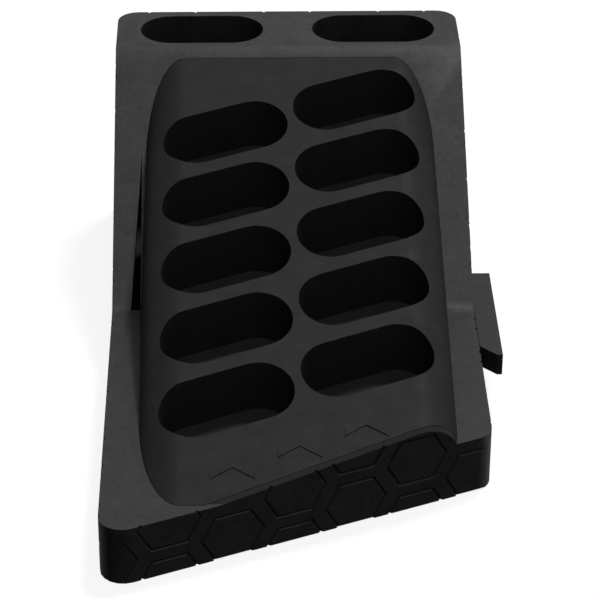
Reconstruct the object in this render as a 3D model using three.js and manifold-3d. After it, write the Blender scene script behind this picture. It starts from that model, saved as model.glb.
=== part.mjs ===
// Ramp leveler for caravans and motorhomes: a wedge-shaped moulded body with hexagon-grooved walls,
// a raised driving track with slanted drain pockets, a side coupler hook and a rubber sole mat.
// Millimetres. +X right, +Y towards the tall rear end, +Z up, Z = 0 on the ground.
import * as THREE from "three";
import { mergeVertices } from "three/addons/utils/BufferGeometryUtils.js";
import Module from "manifold-3d";

const wasm = await Module();
wasm.setup();

// ---- driving dimensions ----
const WIDTH = 200;
const REAR_Y = 190;             // rear wall, measured from the crease between the two rims
const PLATEAU_Y = 140;          // front edge of the level plateau
const FRONT_LEFT_Y = -210;      // the front wall runs diagonally between these two corners
const FRONT_RIGHT_Y = -124;
const HEIGHT = 127;
const RIM_HEIGHT = 33;          // level rim ahead of the crease
const CENTRE_Y = (REAR_Y + FRONT_LEFT_Y) / 2;
const CORNER_RADIUS = 12;
const WALL = 3.2;
const GAP = 0.3;                // between pieces that touch
const BODY_BOTTOM = 0.4;        // the wall edge stands just clear of the ground, on the mat

const TRACK = {
  frontY: -184,                 // the track surface leaves the level rim here
  rearY: 134.5,                 // and meets the steep rim here
  flatHalf: 60,
  shoulder: 22,
  footHalf: 84.2,
  footDrop: 55,
  skin: 2.8,
  skirt: 8,
};
const RIM_SLOPE = (HEIGHT - RIM_HEIGHT) / PLATEAU_Y;
const TRACK_SLOPE = (RIM_SLOPE * TRACK.rearY) / (TRACK.rearY - TRACK.frontY);
const STEEPER = RIM_SLOPE - TRACK_SLOPE;
const SHOULDER_STEPS = 10;      // facets round each shoulder's quarter circle

const POCKET = { rows: 5, pitch: 48, skew: 19, halfX: 36.6, firstY: 74.6, straight: 17.5, radius: 18.5 };
const POCKET_DEPTH = 28.5;
const POCKET_WALL = 2.4;
const COLUMN_RISE = 2 * POCKET.halfX * Math.tan(THREE.MathUtils.degToRad(POCKET.skew));

const HAND_HOLE = { x: 50.3, y: 165.5, straight: 17.5, radius: 18.5, collar: 24, lip: 2.6 };
const LEDGE = { drop: TRACK.skirt + GAP, thickness: 3, halfX: 76, frontY: -176, rearY: 128 };
const SCREW = { shank: 1.7, clearance: 2.1, head: 3.6, headHeight: 2.2, boss: 3.6, seat: 4.6, bite: 8 };
const TRACK_SCREW_X = 78;
const TRACK_SCREW_Y = [-96, -22, 50, 92];
const CROSS_RIB_Y = [-110, -60, -6, 34, 72, 118];

const HOOK = { rearY: 40, frontY: -47, chamferY: -38, reach: 12, height: 12.5, wall: 3, screwY: 22, screwDrop: 7.6 };
const MAT = { thickness: 4, rib: 1, recess: 2.9 };
const HEX = { column: 34, row: 33, band: 7.5, edge: 19, floor: 0.5, mouth: 1.9, depth: 1.1 };
const MAT_SCREWS = [[-80, 168], [80, 168], [-66, 20], [66, 20], [-72, -158], [72, -100]];
const MAT_POST = 6;
const MAT_POST_TOP = 16;

// ---- materials ----
const plastic = new THREE.MeshStandardMaterial({ color: 0x3b3b3b, roughness: 0.62, metalness: 0 });
const trackPlastic = new THREE.MeshStandardMaterial({ color: 0x333333, roughness: 0.5, metalness: 0 });
const hookPlastic = new THREE.MeshStandardMaterial({ color: 0x2c2c2c, roughness: 0.55, metalness: 0 });
const rubber = new THREE.MeshStandardMaterial({ color: 0x161616, roughness: 0.9, metalness: 0 });
const zincSteel = new THREE.MeshStandardMaterial({ color: 0xa8a9a6, roughness: 0.35, metalness: 0.9 });

// ---- solids ----
// A closed three.js geometry as a solid that can be joined and cut.
function solid(geometry, matrix) {
  const bare = geometry.clone();
  bare.deleteAttribute("normal");
  bare.deleteAttribute("uv");
  if (matrix) bare.applyMatrix4(matrix);
  const merged = mergeVertices(bare, 1e-4);
  const mesh = new wasm.Mesh({
    numProp: 3,
    vertProperties: new Float32Array(merged.attributes.position.array),
    triVerts: new Uint32Array(merged.index.array),
  });
  return new wasm.Manifold(mesh);
}

function join(solids) {
  return solids.reduce((whole, piece) => whole.add(piece));
}

function cut(whole, solids) {
  return solids.reduce((rest, piece) => rest.subtract(piece), whole);
}

function extrude(points, depth, holes = []) {
  const shape = new THREE.Shape(points);
  holes.forEach((hole) => shape.holes.push(new THREE.Path(hole)));
  return new THREE.ExtrudeGeometry(shape, { depth, bevelEnabled: false, steps: 1 });
}

// A plan outline raised between two heights.
function prism(points, z0, z1) {
  return solid(extrude(points, z1 - z0), new THREE.Matrix4().makeTranslation(0, 0, z0));
}

// An outline in the YZ plane run across the whole width.
const X = new THREE.Vector3(1, 0, 0);
const Y = new THREE.Vector3(0, 1, 0);
const Z = new THREE.Vector3(0, 0, 1);

function acrossWidth(points) {
  const turn = new THREE.Matrix4().makeBasis(Y, Z, X);
  return solid(extrude(points, WIDTH + 40), turn.setPosition(-WIDTH / 2 - 20, 0, 0));
}

// Tips a solid so that its level planes follow the slope of the track.
const alongTrack = new THREE.Matrix4().set(
  1, 0, 0, 0,
  0, 1, 0, 0,
  0, TRACK_SLOPE, 1, RIM_HEIGHT - TRACK_SLOPE * TRACK.frontY,
  0, 0, 0, 1,
);

function trackHeight(y) {
  return RIM_HEIGHT + TRACK_SLOPE * (y - TRACK.frontY);
}

// The top edge of the front wall at a distance along it: the level rim, or the track between its feet.
function frontHeight(along) {
  const length = Math.hypot(WIDTH, FRONT_RIGHT_Y - FRONT_LEFT_Y);
  const x = -WIDTH / 2 + (along * WIDTH) / length;
  const y = FRONT_LEFT_Y + (along * (FRONT_RIGHT_Y - FRONT_LEFT_Y)) / length;
  return Math.abs(x) > TRACK.footHalf ? RIM_HEIGHT : Math.max(RIM_HEIGHT, trackHeight(y));
}

function rimHeight(y) {
  return RIM_HEIGHT + RIM_SLOPE * Math.min(Math.max(y, 0), PLATEAU_Y);
}

// ---- outlines ----
function arc(cx, cy, radius, from, to, steps) {
  return Array.from({ length: steps + 1 }, (_, i) => {
    const angle = THREE.MathUtils.degToRad(from + ((to - from) * i) / steps);
    return new THREE.Vector2(cx + radius * Math.cos(angle), cy + radius * Math.sin(angle));
  });
}

function points(list) {
  return list.map(([x, y]) => new THREE.Vector2(x, y));
}

// Moves every edge of a convex counter-clockwise outline inwards.
function inset(outline, distance) {
  const edges = outline.map((start, i) => {
    const end = outline[(i + 1) % outline.length];
    const along = end.clone().sub(start).normalize();
    const inward = new THREE.Vector2(-along.y, along.x);
    return { from: start.clone().addScaledVector(inward, distance), along };
  });
  return edges.map((edge, i) => {
    const before = edges[(i + edges.length - 1) % edges.length];
    const turn = before.along.cross(edge.along);
    if (Math.abs(turn) < 1e-6) return edge.from;
    const reach = edge.from.clone().sub(before.from).cross(edge.along) / turn;
    return before.from.clone().addScaledVector(before.along, reach);
  });
}

// Rounds each corner of a convex counter-clockwise outline.
function rounded(corners, radius, steps = 6) {
  return corners.flatMap((corner, i) => {
    const before = corners[(i + corners.length - 1) % corners.length];
    const after = corners[(i + 1) % corners.length];
    const arriving = corner.clone().sub(before).normalize();
    const leaving = after.clone().sub(corner).normalize();
    const turn = Math.acos(arriving.dot(leaving));
    const start = corner.clone().addScaledVector(arriving, -radius * Math.tan(turn / 2));
    const centre = start.clone().add(new THREE.Vector2(-arriving.y, arriving.x).multiplyScalar(radius));
    const from = THREE.MathUtils.radToDeg(Math.atan2(start.y - centre.y, start.x - centre.x));
    return arc(centre.x, centre.y, radius, from, from + THREE.MathUtils.radToDeg(turn), steps);
  });
}

function obround(x, y, straight, radius, skew = 0, steps = 8) {
  const ends = [...arc(straight, 0, radius, -90, 90, steps), ...arc(-straight, 0, radius, 90, 270, steps)];
  const centre = new THREE.Vector2();
  const angle = THREE.MathUtils.degToRad(skew);
  return ends.map((p) => p.rotateAround(centre, angle).add(new THREE.Vector2(x, y)));
}

const footprintCorners = points([
  [-WIDTH / 2, FRONT_LEFT_Y],
  [WIDTH / 2, FRONT_RIGHT_Y],
  [WIDTH / 2, REAR_Y],
  [-WIDTH / 2, REAR_Y],
]);

function footprint(inwards) {
  return rounded(inset(footprintCorners, inwards), CORNER_RADIUS - inwards);
}

// Where the track's shoulders and walls meet the rims, seen from above. Each quarter follows the
// shoulder's arc: the further it has dropped, the further the rim has come up to meet it.
function trackOutline() {
  const quarter = (side, edgeY, perDrop) =>
    Array.from({ length: SHOULDER_STEPS + 1 }, (_, i) => {
      const angle = ((Math.PI / 2) * i) / SHOULDER_STEPS;
      const drop = TRACK.shoulder * (1 - Math.cos(angle));
      const x = TRACK.flatHalf + TRACK.shoulder * Math.sin(angle);
      return new THREE.Vector2(side * x, edgeY + drop * perDrop);
    });
  const front = 1 / TRACK_SLOPE;
  const rear = -1 / STEEPER;
  return [
    ...quarter(1, TRACK.frontY, front),
    new THREE.Vector2(TRACK.footHalf, 0),
    ...quarter(1, TRACK.rearY, rear).reverse(),
    ...quarter(-1, TRACK.rearY, rear),
    new THREE.Vector2(-TRACK.footHalf, 0),
    ...quarter(-1, TRACK.frontY, front).reverse(),
  ];
}

// ---- shapes shared by the body and the track ----
function sideProfile(lowered) {
  const crease = 5;
  const bottom = -60;
  return acrossWidth(points([
    [FRONT_LEFT_Y - 20, bottom],
    [REAR_Y + 20, bottom],
    [REAR_Y + 20, HEIGHT - lowered],
    [PLATEAU_Y, HEIGHT - lowered],
    [crease, RIM_HEIGHT + crease * RIM_SLOPE - lowered],
    [crease / 3, RIM_HEIGHT + (crease * RIM_SLOPE) / 5 - lowered],
    [-crease, RIM_HEIGHT - lowered],
    [FRONT_LEFT_Y - 20, RIM_HEIGHT - lowered],
  ]));
}

// The raised track as a long convex bar: a flat top, round shoulders and slightly flared walls.
function trackBar(inwards) {
  const r = TRACK.shoulder - inwards;
  const top = -inwards;
  const section = [
    ...arc(TRACK.flatHalf, top - r, r, 0, 90, SHOULDER_STEPS),
    ...arc(-TRACK.flatHalf, top - r, r, 90, 180, SHOULDER_STEPS),
    new THREE.Vector2(-TRACK.footHalf + inwards, -TRACK.footDrop),
    new THREE.Vector2(-TRACK.footHalf + inwards, -150),
    new THREE.Vector2(TRACK.footHalf - inwards, -150),
    new THREE.Vector2(TRACK.footHalf - inwards, -TRACK.footDrop),
  ];
  const length = 420;
  const turn = new THREE.Matrix4().makeBasis(X, Z, Y.clone().negate());
  turn.setPosition(0, TRACK.rearY + 2, 0);
  return solid(extrude(section, length), turn.premultiply(alongTrack));
}

function windowPrism(inwards) {
  const opening = prism(inset(trackOutline(), inwards), -40, HEIGHT + 30);
  return opening.intersect(prism(footprint(WALL + inwards), -40, HEIGHT + 30));
}

// ---- hexagon outlines on the walls ----
function hexagon(inwards) {
  const height = (HEX.row - HEX.band) / 2 - inwards;
  const edge = HEX.edge / 2 - inwards * Math.tan(Math.PI / 6);
  const tip = edge + height * Math.tan(Math.PI / 6);
  return points([[tip, 0], [edge, height], [-edge, height], [-tip, 0], [-edge, -height], [edge, -height]]);
}

// A hexagon ring whose sides flare from a narrow floor to the groove's mouth, and on past it.
function hexRing() {
  const reach = HEX.depth + 2;
  const flare = ((HEX.mouth - HEX.floor) / 2) * (reach / HEX.depth);
  const ring = extrude(hexagon(-HEX.floor / 2), reach, [hexagon(HEX.floor / 2)]);
  const [tip, corner] = hexagon(0);
  const lean = Math.tan(Math.PI / 6);
  const position = ring.attributes.position;
  for (let i = 0; i < position.count; i++) {
    if (position.getZ(i) < reach / 2) continue;
    const x = position.getX(i);
    const y = position.getY(i);
    const atTip = Math.abs(y) < 1e-3;
    const outside = atTip ? Math.abs(x) > tip.x : Math.abs(y) > corner.y;
    const grow = outside ? flare : -flare;
    position.setX(i, x + Math.sign(x) * grow * lean * (atTip ? 2 : 1));
    if (!atTip) position.setY(i, y + Math.sign(y) * grow);
  }
  return ring;
}

// Hexagon rings sunk into one wall, seen from outside with the wall running left to right.
// Odd columns stand half a row higher. top(u) is the wall's height at a distance u along it, and a
// hexagon is cut where the wall reaches it within a distance of span to either side of its centre.
function hexRings({ from, to, phase, lift, top, span = HEX.edge }) {
  const start = new THREE.Vector3(...from, 0);
  const along = new THREE.Vector3(...to, 0).sub(start);
  const length = along.length();
  along.normalize();
  const outward = new THREE.Vector3().crossVectors(along, Z);
  const ring = hexRing();
  const rings = [];
  for (let column = 0; phase + column * HEX.column < length + HEX.edge; column++) {
    const u = phase + column * HEX.column;
    const shift = (column % 2) * (HEX.row / 2);
    const tallest = Math.max(top(u - span), top(u + span));
    for (let z = lift + shift - HEX.row; z < tallest + HEX.row / 2 - HEX.band; z += HEX.row) {
      const place = new THREE.Matrix4().makeBasis(along, Z, outward.clone());
      const foot = start.clone().addScaledVector(along, u).addScaledVector(outward, -HEX.depth);
      rings.push(solid(ring, place.setPosition(foot.x, foot.y, z)));
    }
  }
  return rings;
}

const half = WIDTH / 2;
const cornerFrontLeft = [-half, FRONT_LEFT_Y];
const cornerFrontRight = [half, FRONT_RIGHT_Y];
const cornerRearRight = [half, REAR_Y];
const cornerRearLeft = [-half, REAR_Y];
const walls = [
  { from: cornerFrontLeft, to: cornerFrontRight, phase: 4, lift: 13, top: frontHeight, span: 0 },
  { from: cornerFrontRight, to: cornerRearRight, phase: -10, lift: 25, top: (u) => rimHeight(FRONT_RIGHT_Y + u) },
  { from: cornerRearRight, to: cornerRearLeft, phase: -2, lift: 6, top: () => HEIGHT },
  { from: cornerRearLeft, to: cornerFrontLeft, phase: 20, lift: 25, top: (u) => rimHeight(REAR_Y - u) },
];

// ---- fasteners ----
// A pan-head screw along +Z: its head hangs below z = 0 and its shank rises above.
function screwSolid(length) {
  const { shank, head, headHeight } = SCREW;
  const profile = points([
    [0, -headHeight], [head * 0.7, -headHeight], [head, -headHeight * 0.45], [head, 0],
    [shank, 0], [shank, length - 1], [shank * 0.4, length], [0, length],
  ]);
  const upright = new THREE.Matrix4().makeRotationX(Math.PI / 2);
  const turned = solid(new THREE.LatheGeometry(profile, 12), upright);
  const socket = new THREE.CylinderGeometry(1.5, 1.5, 2.4, 6);
  return turned.subtract(solid(socket, upright.setPosition(0, 0, -headHeight)));
}

function cylinder(radius, z0, z1, x, y, sides = 12) {
  const upright = new THREE.Matrix4().makeRotationX(Math.PI / 2).setPosition(x, y, (z0 + z1) / 2);
  return solid(new THREE.CylinderGeometry(radius, radius, z1 - z0, sides), upright);
}

const trackScrews = [-1, 1].flatMap((side) => TRACK_SCREW_Y.map((y) => {
  const ledge = rimHeight(y) - LEDGE.drop;
  const tilt = y > 0 ? RIM_SLOPE * (SCREW.seat + 0.5) : 0;
  return { x: side * TRACK_SCREW_X, y, seat: ledge - LEDGE.thickness - tilt, ledge, top: ledge + SCREW.bite };
}));

const hookScrewX = half - WALL;
const hookScrews = [-1, 1].map((side) => ({ y: side * HOOK.screwY - 2, z: RIM_HEIGHT - HOOK.screwDrop }));

// ---- wedge body ----
function wedgeBody() {
  const sky = HEIGHT + 10;
  const outer = prism(footprint(0), BODY_BOTTOM, sky).intersect(sideProfile(0).add(trackBar(0)));
  const hollow = prism(footprint(WALL), -20, sky).intersect(sideProfile(WALL));
  const shell = cut(outer, [hollow, windowPrism(0)]);

  // a wall and a ledge round the opening carry the track
  const rimBand = (from, to) => sideProfile(from).subtract(sideProfile(to));
  const inside = prism(footprint(WALL - 0.5), BODY_BOTTOM + 6, sky);
  const ledgeDepth = LEDGE.drop + LEDGE.thickness;
  const collar = prism(inset(trackOutline(), -2.4), -20, sky).subtract(windowPrism(0));
  const ledgeHole = prism(rounded(points([
    [-56, LEDGE.frontY], [56, LEDGE.frontY], [LEDGE.halfX, -138],
    [LEDGE.halfX, 112], [66, LEDGE.rearY], [-66, LEDGE.rearY], [-LEDGE.halfX, 112], [-LEDGE.halfX, -138],
  ]), 6, 3), -20, sky).intersect(prism(footprint(WALL + 7), -20, sky));
  const ledge = prism(inset(trackOutline(), -2.4), -20, sky).subtract(ledgeHole);
  const support = join([
    collar.intersect(rimBand(WALL - 0.5, ledgeDepth)),
    ledge.intersect(rimBand(LEDGE.drop, ledgeDepth)),
  ]).intersect(inside);

  // ribs stand on the mat and stop under the pocket cups
  const cupBottom = POCKET_DEPTH + POCKET_WALL + 3;
  const underTrack = trackBar(0).translate([0, 0, -cupBottom]);
  const ribZone = prism(footprint(WALL - 0.5), MAT.thickness + GAP + 0.2, sky)
    .intersect(sideProfile(ledgeDepth + 2))
    .intersect(underTrack);
  const ribs = [-40, 0, 40].map((x) => prism(points([
    [x - 1.2, FRONT_LEFT_Y], [x + 1.2, FRONT_LEFT_Y], [x + 1.2, REAR_Y], [x - 1.2, REAR_Y],
  ]), 0, sky));
  CROSS_RIB_Y.forEach((y) => ribs.push(prism(points([
    [-half, y - 1.2], [half, y - 1.2], [half, y + 1.2], [-half, y + 1.2],
  ]), 0, sky)));
  // a post and a web to the side wall take each of the mat's screws
  const posts = MAT_SCREWS.flatMap(([x, y]) => {
    const foot = MAT.thickness + GAP + 0.2;
    const post = cylinder(MAT_POST, foot, MAT_POST_TOP, x, y, 12);
    const wall = Math.sign(x) * (half - WALL / 2);
    const web = prism(points([
      [Math.min(x, wall), y - 1.2], [Math.max(x, wall), y - 1.2],
      [Math.max(x, wall), y + 1.2], [Math.min(x, wall), y + 1.2],
    ]), foot, MAT_POST_TOP);
    return [post, web];
  });
  const bracing = join([join(ribs).intersect(ribZone), ...posts]);

  // hand holes with deep collars in the plateau
  const holes = [-1, 1].map((side) => ({ ...HAND_HOLE, x: side * HAND_HOLE.x }));
  const hole = (h, grow) => obround(h.x, h.y, h.straight, h.radius + grow, 0, grow ? 8 : 16);
  const collars = holes.map((h) => prism(hole(h, HAND_HOLE.lip), HEIGHT - HAND_HOLE.collar, HEIGHT - 1));
  const openings = holes.map((h) => prism(hole(h, 0), HEIGHT - HAND_HOLE.collar - 5, sky));

  // seats under the ledge for the track's screws, and clearance holes through them
  const seatPosts = trackScrews.map((s) => cylinder(SCREW.seat, s.seat, s.ledge + 3, s.x, s.y));
  const seats = join(seatPosts).intersect(sideProfile(LEDGE.drop + 1));
  const screwHoles = trackScrews.map((s) => cylinder(SCREW.clearance, s.seat - 1, s.ledge + 4, s.x, s.y));
  const matHoles = MAT_SCREWS.map(([x, y]) => cylinder(SCREW.clearance, -1, 12.5, x, y));
  const hookHoles = hookScrews.map((s) => {
    const across = new THREE.Matrix4().makeRotationZ(Math.PI / 2).setPosition(half, s.y, s.z);
    return solid(new THREE.CylinderGeometry(SCREW.clearance, SCREW.clearance, 12, 12), across);
  });

  // a narrow tapered slot beside the track's left wall, just behind the crease
  const slot = prism(points([[-84.4, 1.5], [-84.2, 84], [-89.6, 1.5]]), 10, HEIGHT);

  const whole = join([shell, support, bracing, ...collars, seats]);
  const grooves = walls.flatMap(hexRings);
  return cut(whole, [...openings, ...screwHoles, ...matHoles, ...hookHoles, slot, ...grooves]);
}

// ---- driving track ----
function pocketCentres() {
  const centres = [];
  for (let row = 0; row < POCKET.rows; row++) {
    const y = POCKET.firstY - row * POCKET.pitch;
    centres.push([-POCKET.halfX, y], [POCKET.halfX, y + COLUMN_RISE]);
  }
  return centres;
}

function trackInsert() {
  const deep = TRACK.skirt;
  const blank = trackBar(0).intersect(windowPrism(GAP)).subtract(sideProfile(deep));
  const inner = trackBar(TRACK.skin).intersect(windowPrism(GAP + TRACK.skin));
  const skin = blank.subtract(inner);
  const pocket = (centre, grow, from, to) => {
    const steps = grow ? 8 : 16;
    const outline = obround(...centre, POCKET.straight, POCKET.radius + grow, POCKET.skew, steps);
    const depth = to - from;
    const place = new THREE.Matrix4().makeTranslation(0, 0, from).premultiply(alongTrack);
    return solid(extrude(outline, depth), place);
  };
  const centres = pocketCentres();
  const floor = -POCKET_DEPTH;
  // the cups' walls stop inside the skin, also where the shoulder falls away from the flat top
  const blanks = centres.map((c) => pocket(c, POCKET_WALL, floor - POCKET_WALL, 0));
  const cups = join(blanks).intersect(trackBar(TRACK.skin / 2));
  const hollows = centres.map((c) => pocket(c, 0, floor, 4));
  const bosses = join(trackScrews.map((s) => cylinder(SCREW.boss, s.ledge - 5, s.ledge + 30, s.x, s.y)));
  const trimmedBosses = bosses.intersect(trackBar(1)).intersect(windowPrism(GAP)).subtract(sideProfile(deep));
  const pilots = trackScrews.map((s) => cylinder(SCREW.clearance, s.ledge - 2, s.top + 0.5, s.x, s.y));
  const whole = join([skin, cups, trimmedBosses, ...chevrons()]);
  return cut(whole, [...hollows, ...pilots]);
}

// Raised direction chevrons near the foot of the track, pointing up the slope.
function chevrons() {
  const arm = (x, y) => points([
    [x - 11, y - 7], [x, y], [x + 11, y - 7], [x + 11, y - 2.5], [x, y + 4.5], [x - 11, y - 2.5],
  ]);
  const place = new THREE.Matrix4().makeTranslation(0, 0, -1).premultiply(alongTrack);
  return [[-34, -161], [0, -148], [34, -135]].map(([x, y]) => solid(extrude(arm(x, y), 1.6), place));
}

// ---- coupler hook ----
function couplerHook() {
  const inner = half + GAP;
  const outer = half + HOOK.reach;
  const bottom = RIM_HEIGHT - HOOK.height;
  const bar = prism(points([
    [inner, HOOK.chamferY], [outer - 2.8, HOOK.frontY], [outer, HOOK.frontY],
    [outer, HOOK.rearY], [inner, HOOK.rearY],
  ]), bottom, RIM_HEIGHT);
  const pocket = prism(points([
    [inner + HOOK.wall, HOOK.chamferY + 3], [outer - HOOK.wall, HOOK.chamferY - 2],
    [outer - HOOK.wall, HOOK.rearY - HOOK.wall], [inner + HOOK.wall, HOOK.rearY - HOOK.wall],
  ]), bottom - 1, RIM_HEIGHT - HOOK.wall);
  const across = (s, radius, x0, x1) => {
    const place = new THREE.Matrix4().makeRotationZ(Math.PI / 2).setPosition((x0 + x1) / 2, s.y, s.z);
    return solid(new THREE.CylinderGeometry(radius, radius, x1 - x0, 12), place);
  };
  const bosses = hookScrews.map((s) => across(s, 4, inner + 0.5, outer - 1));
  const pilots = hookScrews.map((s) => across(s, SCREW.clearance, inner - 1, outer - 2.6));
  return cut(join([bar.subtract(pocket), ...bosses]), pilots);
}

// ---- sole mat ----
function soleMat() {
  const plate = prism(footprint(WALL + GAP + 0.2), MAT.rib, MAT.thickness);
  const ribs = [];
  for (let y = FRONT_LEFT_Y + 12; y < REAR_Y - 6; y += 30) {
    ribs.push(prism(points([[-half, y], [half, y], [half, y + 22], [-half, y + 22]]), 0, MAT.rib + 0.2));
  }
  const tread = join(ribs).intersect(prism(footprint(WALL + 4), -1, MAT.thickness));
  const pads = MAT_SCREWS.map(([x, y]) => cylinder(8, 0, MAT.rib + 0.2, x, y));
  const recesses = MAT_SCREWS.map(([x, y]) => cylinder(SCREW.head + GAP, -1, MAT.recess, x, y));
  const holes = MAT_SCREWS.map(([x, y]) => cylinder(SCREW.clearance, -1, 6, x, y));
  return cut(join([plate, tread, ...pads]), [...recesses, ...holes]);
}

// ---- assembly ----
const group = new THREE.Group();
const baseCentre = new THREE.Matrix4().makeTranslation(0, -CENTRE_Y, 0);

function addPiece(name, piece, material, parent = group) {
  const { numProp, vertProperties, triVerts } = piece.getMesh();
  const positions = new Float32Array(triVerts.length * 3);
  triVerts.forEach((vertex, i) => {
    for (let axis = 0; axis < 3; axis++) positions[3 * i + axis] = vertProperties[numProp * vertex + axis];
  });
  const geometry = new THREE.BufferGeometry();
  geometry.setAttribute("position", new THREE.BufferAttribute(positions, 3));
  geometry.computeVertexNormals();
  const mesh = new THREE.Mesh(geometry, material);
  mesh.name = name;
  parent.add(mesh);
  return mesh;
}

const assembly = new THREE.Group();
assembly.applyMatrix4(baseCentre);
group.add(assembly);

addPiece("wedge_body", wedgeBody(), plastic, assembly);
addPiece("track_insert", trackInsert(), trackPlastic, assembly);
addPiece("coupler_hook", couplerHook(), hookPlastic, assembly);
addPiece("sole_mat", soleMat(), rubber, assembly);

trackScrews.forEach((s, i) => {
  const mesh = addPiece(`track_screw_${i + 1}`, screwSolid(s.top - s.seat), zincSteel, assembly);
  mesh.position.set(s.x, s.y, s.seat - GAP);
});

hookScrews.forEach((s, i) => {
  const mesh = addPiece(`hook_screw_${i + 1}`, screwSolid(WALL + 8), zincSteel, assembly);
  mesh.rotation.y = Math.PI / 2;
  mesh.position.set(hookScrewX - GAP, s.y, s.z);
});

MAT_SCREWS.forEach(([x, y], i) => {
  const mesh = addPiece(`mat_screw_${i + 1}`, screwSolid(9), zincSteel, assembly);
  mesh.position.set(x, y, MAT.recess - GAP);
});

export default group;
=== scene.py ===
"""Looks for the ramp leveler: moulded edges, plastics, rubber and steel round the fixed CAD frame.

Metres, +X right, +Y towards the tall rear end, +Z up, Z = 0 on the ground.
"""

import math

import bpy
from mathutils import Matrix, Vector


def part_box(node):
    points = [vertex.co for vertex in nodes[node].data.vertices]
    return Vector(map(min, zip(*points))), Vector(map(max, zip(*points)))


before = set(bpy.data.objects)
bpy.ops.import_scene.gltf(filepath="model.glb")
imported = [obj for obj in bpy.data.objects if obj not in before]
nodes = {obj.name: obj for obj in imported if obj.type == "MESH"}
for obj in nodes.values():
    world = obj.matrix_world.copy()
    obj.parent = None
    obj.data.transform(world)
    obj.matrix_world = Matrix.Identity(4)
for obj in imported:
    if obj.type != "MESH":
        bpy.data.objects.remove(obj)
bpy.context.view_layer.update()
scene = bpy.context.scene

MM = 0.001
body_low, body_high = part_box("wedge_body")

# ---- camera: where it stands, and where it looks ----
CAMERA_PLACE = Vector((-0.03013, -1.24093, 0.79098))
CAMERA_TURN = math.radians(1.55)       # to the right of +Y
CAMERA_TILT = math.radians(30.96)      # below the horizon
CAMERA_ROLL = math.radians(0.32)
CAMERA_LENS = 158.8                    # millimetres
CAMERA_SENSOR = 36

# ---- light ----
REAR_SKY = 0.60                        # the studio's brightness low down behind the object
OPEN_SKY = 0.16                        # everywhere else above the floor
LOW_SKY = 0.03                         # and below it
OVERHEAD_SHARE = 0.35                  # of REAR_SKY, straight up
LEFT_SHARE = 0.12                      # of OPEN_SKY, on the far left
# the parts of a direction's X, Y or Z over which each of those levels fades in
HORIZON = (-0.04, 0.06)
BEHIND = (0.15, 0.85)
OVERHEAD = (0.25, 0.95)
LOW_TO_OPEN = (-0.5, 0.1)
LEFT_TO_RIGHT = (-0.7, 0.7)
BACKDROP = 0.94                        # the plain grey that the camera sees behind the object
# The lamps below the horizon light only these pieces: their upright walls, and not their tops.
WALLS = ("wedge_body", "coupler_hook")
# Each lamp's azimuth to the right of +Y, elevation, strength, spread, and the pieces it lights, where
# it doesn't light them all. Angles are in degrees.
LAMPS = {
    "key": (38, 66, 1.0, 8, ()),
    "front_fill": (168, 68, 0.42, 25, ()),
    "right_side": (68, -15, 0.60, 8, WALLS),
    "left_side": (-55, -15, 0.45, 8, WALLS),
    "rear_side": (0, -18, 0.60, 8, WALLS),
}

# ---- the moulded shapes that the edges and shading follow: the CAD's dimensions, in the frame ----
FLAT_HALF = 60 * MM                    # half width of the track's flat top
SHOULDER = 22 * MM                     # radius of the track's shoulders
TRACK_SLOPE = 0.2835                   # rise of the track towards the rear
TRACK_LEVEL = 82.3 * MM                # height of the track's flat top at Y = 0
RIM_HEIGHT = 33 * MM                   # the level rim ahead of the crease
PLATEAU_Y = 150 * MM                   # front edge of the level plateau
FRONT_LEFT = Vector((body_low.x, -200 * MM, 0))      # the front wall runs between these two corners
FRONT_RIGHT = Vector((body_high.x, -114 * MM, 0))
FRONT_NORMAL = (FRONT_RIGHT - FRONT_LEFT).normalized().cross(Vector((0, 0, 1)))
FRONT_REACH = FRONT_NORMAL.dot(FRONT_RIGHT)            # how far out the front wall stands


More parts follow.
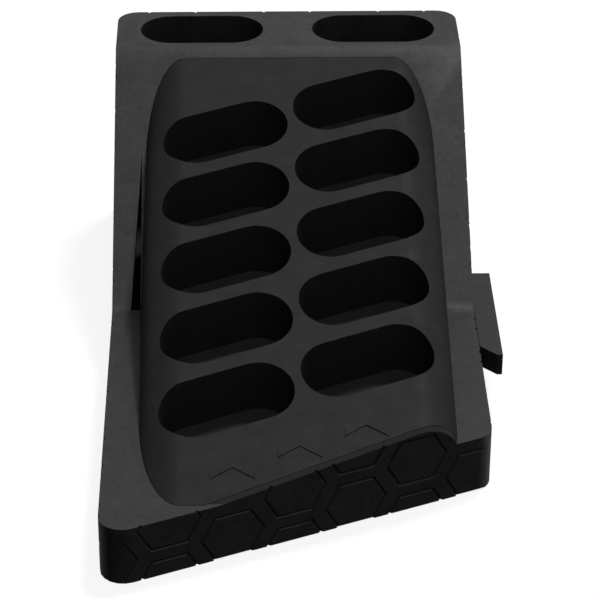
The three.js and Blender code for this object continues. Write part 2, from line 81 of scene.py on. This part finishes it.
# ---- node helpers ----
class Nodes:
    """A small front end to a node tree: add nodes by type and link sockets by name."""

    def __init__(self, tree):
        self.tree = tree
        tree.nodes.clear()

    def add(self, kind, **settings):
        node = self.tree.nodes.new(kind)
        for name, value in settings.items():
            setattr(node, name, value)
        return node

    def link(self, source, target):
        self.tree.links.new(source, target)

    def calc(self, operation, *values, kind="ShaderNodeMath"):
        node = self.add(kind, operation=operation)
        for value, socket in zip(values, node.inputs):
            if isinstance(value, bpy.types.NodeSocket):
                self.link(value, socket)
            else:
                socket.default_value = value
        return node.outputs[0] if node.outputs[0].enabled else node.outputs[1]

    def vector(self, operation, *values):
        return self.calc(operation, *values, kind="ShaderNodeVectorMath")

    def all_of(self, *tests):
        whole = tests[0]
        for test in tests[1:]:
            whole = self.calc("MULTIPLY", whole, test)
        return whole

    def noise(self, coordinates, scale, detail, roughness=0.5):
        node = self.add("ShaderNodeTexNoise")
        node.inputs["Scale"].default_value = scale
        node.inputs["Detail"].default_value = detail
        node.inputs["Roughness"].default_value = roughness
        self.link(coordinates, node.inputs["Vector"])
        return node.outputs["Fac"]

    def beads(self, coordinates, scale):
        node = self.add("ShaderNodeTexVoronoi", feature="SMOOTH_F1")
        node.inputs["Scale"].default_value = scale
        node.inputs["Smoothness"].default_value = 0.6
        self.link(coordinates, node.inputs["Vector"])
        return node.outputs["Distance"]

    def between(self, value, low, high, out_low, out_high):
        node = self.add("ShaderNodeMapRange")
        self.link(value, node.inputs["Value"])
        ends = {"From Min": low, "From Max": high, "To Min": out_low, "To Max": out_high}
        for name, number in ends.items():
            node.inputs[name].default_value = number
        return node.outputs["Result"]

    def mix_colour(self, factor, dark, light):
        node = self.add("ShaderNodeMix", data_type="RGBA")
        self.link(factor, node.inputs["Factor"])
        node.inputs[6].default_value = (*dark, 1)
        node.inputs[7].default_value = (*light, 1)
        return node.outputs[2]

    def bump(self, height, distance, strength, below=None):
        node = self.add("ShaderNodeBump")
        node.inputs["Strength"].default_value = strength
        node.inputs["Distance"].default_value = distance
        self.link(height, node.inputs["Height"])
        if below is not None:
            self.link(below, node.inputs["Normal"])
        return node.outputs["Normal"]


def grey(value):
    return (value, value, value)


def new_material(name):
    material = bpy.data.materials.new(name)
    material.use_nodes = True
    nodes_of = Nodes(material.node_tree)
    shader = nodes_of.add("ShaderNodeBsdfPrincipled")
    output = nodes_of.add("ShaderNodeOutputMaterial")
    nodes_of.link(shader.outputs["BSDF"], output.inputs["Surface"])
    place = nodes_of.add("ShaderNodeTexCoord").outputs["Object"]
    return material, nodes_of, shader, place


# ---- materials ----
CLOUD_RANGE = (0.36, 0.64)             # the noise levels of the darkest and the lightest tone
GLOSS_SWING = 0.04                     # how far the roughness strays either way

# the strip of the body that carries the track's finish, and painted shade: a tone darker than the track's own
# that dims the strip's highlight
# painted shade: the strip's tone, below the track's darkest, dims the highlight the strip would show
STRIP_PAINTED_SHADE = 0.012
STRIP_ROUGHNESS = 0.8
STRIP_ABOVE = RIM_HEIGHT + 0.2 * MM
STRIP_AHEAD_OF = FRONT_RIGHT.y + 6 * MM
STRIP_UPWARD = 0.3                     # the least upward part of its normal


def moulded_plastic(name, dark, light, roughness, specular, mottle, bead_depth, smooth_shaded_strip=False):
    """Black moulded plastic: cloudy tone, fine beads from the mould's texture, faint sink and flow, and
    optionally the front strip's finish with painted shade.
    """
    material, n, shader, place = new_material(name)
    clouds = n.noise(place, 1 / (11 * MM), 5.0, 0.65)
    speckle = n.noise(place, 1 / (2.2 * MM), 3.0, 0.7)
    blend = n.calc("ADD", n.calc("MULTIPLY", clouds, 1 - mottle), n.calc("MULTIPLY", speckle, mottle))
    tone = n.between(blend, *CLOUD_RANGE, 0.0, 1.0)
    beads = n.beads(place, 1 / (0.6 * MM))
    gloss = n.between(blend, *CLOUD_RANGE, roughness + GLOSS_SWING, roughness - GLOSS_SWING)
    if smooth_shaded_strip:
        strip = track_finish_and_shade_strip(n, place)
        beads = n.calc("MULTIPLY", beads, strip)
        gloss = n.calc("MAXIMUM", gloss, n.between(strip, 0, 1, STRIP_ROUGHNESS, 0))
        shade = n.between(tone, 0, 1, dark, light)
        # painted shade: on the strip the tone is set below the track's own, to dim the strip's highlight
        shade = n.calc("MAXIMUM", n.calc("MULTIPLY", shade, strip), STRIP_PAINTED_SHADE)
        n.link(shade, shader.inputs["Base Color"])
    else:
        n.link(n.mix_colour(tone, grey(dark), grey(light)), shader.inputs["Base Color"])
    n.link(gloss, shader.inputs["Roughness"])
    flow = n.bump(n.noise(place, 1 / (45 * MM), 1.0), 0.3 * MM, 0.12)
    n.link(n.bump(beads, bead_depth, 0.6, below=flow), shader.inputs["Normal"])
    shader.inputs["IOR"].default_value = 1.5
    shader.inputs["Specular IOR Level"].default_value = specular
    return material


def track_finish_and_shade_strip(n, place):
    """0 on the top of the front wall, which carries the track's smooth finish on to its edge and a painted
    shade darker than the track's own tone, else 1.
    """
    split = n.add("ShaderNodeSeparateXYZ")
    n.link(place, split.inputs[0])
    facing = n.add("ShaderNodeSeparateXYZ")
    n.link(n.add("ShaderNodeNewGeometry").outputs["Normal"], facing.inputs[0])
    above = n.calc("GREATER_THAN", split.outputs["Z"], STRIP_ABOVE)
    ahead = n.calc("LESS_THAN", split.outputs["Y"], STRIP_AHEAD_OF)
    upward = n.calc("GREATER_THAN", facing.outputs["Z"], STRIP_UPWARD)
    return n.calc("SUBTRACT", 1.0, n.all_of(above, ahead, upward))


def sole_rubber():
    """Matt black rubber with a grainy skin and a little grey bloom."""
    material, n, shader, place = new_material("sole_rubber")
    bloom = n.noise(place, 1 / (9 * MM), 5.0, 0.65)
    tone = n.mix_colour(n.between(bloom, 0.35, 0.75, 0, 1), grey(0.008), grey(0.022))
    n.link(tone, shader.inputs["Base Color"])
    n.link(n.between(bloom, 0.3, 0.7, 0.78, 0.92), shader.inputs["Roughness"])
    n.link(n.bump(n.noise(place, 1 / (0.7 * MM), 3.0, 0.6), 0.08 * MM, 0.6), shader.inputs["Normal"])
    return material


def zinc_steel():
    """Zinc-plated steel: cloudy passivation with fine turning marks."""
    material, n, shader, place = new_material("screw_steel")
    clouds = n.noise(place, 1 / (3 * MM), 4.0, 0.6)
    n.link(n.mix_colour(clouds, (0.42, 0.42, 0.40), (0.60, 0.60, 0.58)), shader.inputs["Base Color"])
    n.link(n.between(clouds, 0.3, 0.7, 0.26, 0.44), shader.inputs["Roughness"])
    n.link(n.bump(n.noise(place, 1 / (0.25 * MM), 2.0), 0.01 * MM, 0.4), shader.inputs["Normal"])
    shader.inputs["Metallic"].default_value = 1.0
    return material


# ---- moulded edges ----
SHARP = math.radians(34)               # edges that turn less are shaded smooth, and rounded nowhere
SQUARE = math.radians(66)              # on the body and track, only edges that turn more are rounded
WELD_DISTANCE = 0.02 * MM
COPLANAR = math.radians(0.6)           # facets closer than this to one plane are joined
EDGE_SEGMENTS = 2
FACE_WEIGHT = 60                       # how much the large faces lead the shading
SAME_SLOPE = 0.97                      # the least cosine between a facet and its exact slope

# the track's rounded edges: within these bounds, and clear of its seam with the body
EDGE_DEPTH = 6 * MM                    # below the flat top
POCKETS_HALF = 77.5 * MM
POCKETS_FRONT = -136 * MM
CHEVRONS_HALF = 52 * MM
FRONT_CLEAR = 8 * MM
TRACK_REAR = 136 * MM


def geometry_group(name):
    """A node group for a modifier: its front end, its incoming geometry, and a call that ends it."""
    group = bpy.data.node_groups.new(name, "GeometryNodeTree")
    group.interface.new_socket("Geometry", in_out="INPUT", socket_type="NodeSocketGeometry")
    group.interface.new_socket("Geometry", in_out="OUTPUT", socket_type="NodeSocketGeometry")
    n = Nodes(group)

    def end(geometry):
        n.link(geometry, n.add("NodeGroupOutput").inputs[0])
        return group

    return n, n.add("NodeGroupInput").outputs[0], end


def welding_group():
    """Joins the facets' shared corners and drops the shading that came with them."""
    n, start, end = geometry_group("weld_facets")
    weld = n.add("GeometryNodeMergeByDistance")
    weld.inputs["Distance"].default_value = WELD_DISTANCE
    n.link(start, weld.inputs["Geometry"])
    forget = n.add("GeometryNodeRemoveAttribute")
    forget.inputs["Name"].default_value = "custom_normal"
    n.link(weld.outputs[0], forget.inputs["Geometry"])
    return end(forget.outputs[0])


def smoothing_group():
    """Shades edges flatter than SHARP as smooth."""
    n, start, end = geometry_group("smooth_by_angle")
    faces = n.add("GeometryNodeSetShadeSmooth", domain="FACE")
    n.link(start, faces.inputs["Geometry"])
    angle = n.add("GeometryNodeInputMeshEdgeAngle").outputs["Unsigned Angle"]
    edges = n.add("GeometryNodeSetShadeSmooth", domain="EDGE")
    n.link(faces.outputs[0], edges.inputs["Geometry"])
    n.link(n.calc("LESS_THAN", angle, SHARP), edges.inputs["Shade Smooth"])
    return end(edges.outputs[0])


def rounding_group(name, where, turn=SHARP):
    """Marks outward edges that turn further than turn, where where(n, x, y, z, place) is above zero."""
    n, start, end = geometry_group(name)
    place = n.add("GeometryNodeInputPosition").outputs[0]
    split = n.add("ShaderNodeSeparateXYZ")
    n.link(place, split.inputs[0])
    outward = n.calc("LESS_THAN", n.add("GeometryNodeInputMeshEdgeAngle").outputs["Signed Angle"], -turn)
    chosen = n.calc("MULTIPLY", outward, where(n, *split.outputs[:3], place))
    store = n.add("GeometryNodeStoreNamedAttribute", data_type="FLOAT", domain="EDGE")
    store.inputs["Name"].default_value = "bevel_weight_edge"
    n.link(start, store.inputs["Geometry"])
    n.link(chosen, store.inputs["Value"])
    return end(store.outputs[0])


def everywhere(n, x, y, z, place):
    """Every edge, because nothing is a metre below the ground."""
    return n.calc("GREATER_THAN", z, -1.0)


def body_outside(n, x, y, z, place):
    """The body's side walls and plateau: off the ground, and not where the track's seam runs."""
    skin = 2 * MM
    off_ground = n.calc("GREATER_THAN", z, 2.5 * MM)
    side = n.calc("GREATER_THAN", n.calc("ABSOLUTE", x), body_high.x - skin)
    plateau = n.calc("GREATER_THAN", y, PLATEAU_Y - skin)
    return n.all_of(off_ground, n.calc("MAXIMUM", side, plateau))


def track_top(n, x, y, z, place):
    """The edges of the track's pockets and chevrons, but not its seam with the body."""
    depth = n.calc("SUBTRACT", n.vector("DOT_PRODUCT", place, (0, -TRACK_SLOPE, 1)), TRACK_LEVEL - EDGE_DEPTH)
    wide = n.calc("ABSOLUTE", x)
    pockets = n.all_of(n.calc("LESS_THAN", wide, POCKETS_HALF), n.calc("GREATER_THAN", y, POCKETS_FRONT))
    chevrons = n.calc("LESS_THAN", wide, CHEVRONS_HALF)
    inside = n.calc("LESS_THAN", n.vector("DOT_PRODUCT", place, FRONT_NORMAL), FRONT_REACH - FRONT_CLEAR)
    rear = n.calc("LESS_THAN", y, TRACK_REAR)
    return n.all_of(n.calc("GREATER_THAN", depth, 0.0), n.calc("MAXIMUM", pockets, chevrons), inside, rear)


def track_normals_group():
    """Gives the track's facets the exact slope of the round-shouldered bar that they stand for."""
    n, start, end = geometry_group("track_normals")
    split = n.add("ShaderNodeSeparateXYZ")
    n.link(n.add("GeometryNodeInputPosition").outputs[0], split.inputs[0])
    x = split.outputs["X"]
    beyond = n.calc("DIVIDE", n.calc("SUBTRACT", n.calc("ABSOLUTE", x), FLAT_HALF), SHOULDER)
    lean = n.calc("MINIMUM", n.calc("MAXIMUM", beyond, 0.0), 1.0)
    rise = n.calc("SQRT", n.calc("SUBTRACT", 1.0, n.calc("MULTIPLY", lean, lean)))
    exact = n.add("ShaderNodeCombineXYZ")
    n.link(n.calc("MULTIPLY", n.calc("SIGN", x), lean), exact.inputs[0])
    n.link(n.calc("MULTIPLY", rise, -TRACK_SLOPE), exact.inputs[1])
    n.link(rise, exact.inputs[2])
    slope = n.vector("NORMALIZE", exact.outputs[0])
    shading = n.add("GeometryNodeInputNormal")
    close = n.calc("GREATER_THAN", n.vector("DOT_PRODUCT", slope, shading.outputs["True Normal"]), SAME_SLOPE)
    choose = n.add("GeometryNodeSwitch", input_type="VECTOR")
    n.link(close, choose.inputs["Switch"])
    n.link(shading.outputs["Normal"], choose.inputs["False"])
    n.link(slope, choose.inputs["True"])
    apply = n.add("GeometryNodeSetMeshNormal", mode="FREE", domain="CORNER")
    n.link(start, apply.inputs["Mesh"])
    n.link(choose.outputs[0], apply.inputs["Custom Normal"])
    return end(apply.outputs[0])


def holding_group(piece):
    """Holds every point inside the piece's own box, so that rounding never makes it larger."""
    n, start, end = geometry_group(f"hold_{piece.name}")
    low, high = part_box(piece.name)
    place = n.add("GeometryNodeInputPosition").outputs[0]
    held = n.vector("MINIMUM", n.vector("MAXIMUM", place, low), high)
    move = n.add("GeometryNodeSetPosition")
    n.link(start, move.inputs["Geometry"])
    n.link(held, move.inputs["Position"])
    return end(move.outputs[0])


def add_group(piece, name, group):
    piece.modifiers.new(name, "NODES").node_group = group


def mould_edges(piece, radius, rounding):
    """Rounds the piece's chosen edges with modifiers, and leaves its own mesh as it is."""
    add_group(piece, "weld", WELD)
    flats = piece.modifiers.new("join_flats", "DECIMATE")
    flats.decimate_type = "DISSOLVE"
    flats.angle_limit = COPLANAR
    add_group(piece, "choose_edges", rounding)
    edges = piece.modifiers.new("round_edges", "BEVEL")
    edges.width = radius
    edges.segments = EDGE_SEGMENTS
    edges.limit_method = "WEIGHT"
    edges.use_clamp_overlap = False
    add_group(piece, "hold", holding_group(piece))
    add_group(piece, "shade", SMOOTH)
    weighted = piece.modifiers.new("even_shading", "WEIGHTED_NORMAL")
    weighted.keep_sharp = True
    weighted.weight = FACE_WEIGHT


def dress(piece, material, radius, rounding):
    piece.data.materials.clear()
    piece.data.materials.append(material)
    mould_edges(piece, radius, rounding)


# ---- the pieces ----
WELD = welding_group()
SMOOTH = smoothing_group()


def dress_pieces():
    body = moulded_plastic("body_plastic", 0.026, 0.054, 0.50, 0.48, 0.55, 0.07 * MM, smooth_shaded_strip=True)
    track = moulded_plastic("track_plastic", 0.026, 0.033, 0.58, 0.20, 0.3, 0.02 * MM)
    hook = moulded_plastic("hook_plastic", 0.028, 0.044, 0.50, 0.45, 0.5, 0.04 * MM)
    rubber = sole_rubber()
    steel = zinc_steel()
    all_edges = rounding_group("round_all_edges", everywhere)
    dress(nodes["wedge_body"], body, 0.45 * MM, rounding_group("round_body_edges", body_outside, SQUARE))
    dress(nodes["track_insert"], track, 0.4 * MM, rounding_group("round_track_edges", track_top, SQUARE))
    add_group(nodes["track_insert"], "exact_slope", track_normals_group())
    dress(nodes["coupler_hook"], hook, 0.45 * MM, all_edges)
    dress(nodes["sole_mat"], rubber, 0.3 * MM, all_edges)
    for name, piece in nodes.items():
        if "_screw_" in name:
            dress(piece, steel, 0.15 * MM, all_edges)


# ---- stage, light and camera ----
FLOOR_HALF = 12
FLOOR_DROP = 0.05 * MM                 # keeps the floor just clear of the mat


def floor():
    """A pale floor that shows to the camera but lights, mirrors and shades nothing."""
    mesh = bpy.data.meshes.new("floor")
    sides = ((-1, -1), (1, -1), (1, 1), (-1, 1))
    corners = [Vector((x * FLOOR_HALF, y * FLOOR_HALF, -FLOOR_DROP)) for x, y in sides]
    mesh.from_pydata(corners, [], [(0, 1, 2, 3)])
    plane = bpy.data.objects.new("floor", mesh)
    scene.collection.objects.link(plane)
    material, n, shader, place = new_material("floor_paper")
    tone = n.noise(place, 2.0, 1.0)
    n.link(n.mix_colour(tone, grey(0.30), grey(0.31)), shader.inputs["Base Color"])
    shader.inputs["Roughness"].default_value = 0.9
    shader.inputs["Specular IOR Level"].default_value = 0.0
    shader.inputs["Emission Color"].default_value = (1, 1, 1, 1)
    shader.inputs["Emission Strength"].default_value = 0.86
    mesh.materials.append(material)
    plane.visible_diffuse = False
    plane.visible_glossy = False
    plane.visible_shadow = False


def lamps():
    for name, (azimuth, elevation, strength, spread, lit) in LAMPS.items():
        light = bpy.data.lights.new(name, "SUN")
        light.energy = strength
        light.angle = math.radians(spread)
        lamp = bpy.data.objects.new(name, light)
        scene.collection.objects.link(lamp)
        turn, up = math.radians(azimuth), math.radians(elevation)
        towards = Vector((math.cos(up) * math.sin(turn), math.cos(up) * math.cos(turn), math.sin(up)))
        lamp.rotation_mode = "QUATERNION"
        lamp.rotation_quaternion = towards.to_track_quat("Z", "Y")
        if lit:
            receivers = bpy.data.collections.new(f"lit_by_{name}")
            for piece in lit:
                receivers.objects.link(nodes[piece])
            lamp.light_linking.receiver_collection = receivers


def studio_world():
    """A studio that is brightest low down behind the object, and darker to the left and below."""
    world = bpy.data.worlds.new("studio")
    scene.world = world
    world.use_nodes = True
    n = Nodes(world.node_tree)
    direction = n.add("ShaderNodeTexCoord").outputs["Generated"]
    split = n.add("ShaderNodeSeparateXYZ")
    n.link(direction, split.inputs[0])
    up = split.outputs["Z"]
    above = n.between(up, *HORIZON, 0, 1)
    behind = n.between(split.outputs["Y"], *BEHIND, 0, 1)
    sky = n.calc("MULTIPLY", above, behind)
    band = n.calc("MULTIPLY", sky, n.between(up, *OVERHEAD, REAR_SKY, REAR_SKY * OVERHEAD_SHARE))
    side = n.between(split.outputs["X"], *LEFT_TO_RIGHT, LEFT_SHARE, 1.0)
    base = n.calc("MULTIPLY", n.between(up, *LOW_TO_OPEN, LOW_SKY, OPEN_SKY), side)
    level = n.calc("ADD", band, base)
    lit = n.add("ShaderNodeBackground")
    n.link(level, lit.inputs["Strength"])
    seen = n.add("ShaderNodeBackground")
    seen.inputs["Color"].default_value = (*grey(BACKDROP), 1)
    pick = n.add("ShaderNodeMixShader")
    n.link(n.add("ShaderNodeLightPath").outputs["Is Camera Ray"], pick.inputs[0])
    n.link(lit.outputs[0], pick.inputs[1])
    n.link(seen.outputs[0], pick.inputs[2])
    n.link(pick.outputs[0], n.add("ShaderNodeOutputWorld").inputs["Surface"])


def camera():
    data = bpy.data.cameras.new("camera")
    data.lens = CAMERA_LENS
    data.sensor_width = CAMERA_SENSOR
    seat = bpy.data.objects.new("camera", data)
    scene.collection.objects.link(seat)
    turn = Matrix.Rotation(-CAMERA_TURN, 4, "Z")
    tilt = Matrix.Rotation(math.pi / 2 - CAMERA_TILT, 4, "X")
    roll = Matrix.Rotation(CAMERA_ROLL, 4, "Z")
    seat.matrix_world = Matrix.Translation(CAMERA_PLACE) @ turn @ tilt @ roll
    scene.camera = seat


camera()
dress_pieces()
floor()
lamps()
studio_world()
scene.view_settings.view_transform = "Standard"
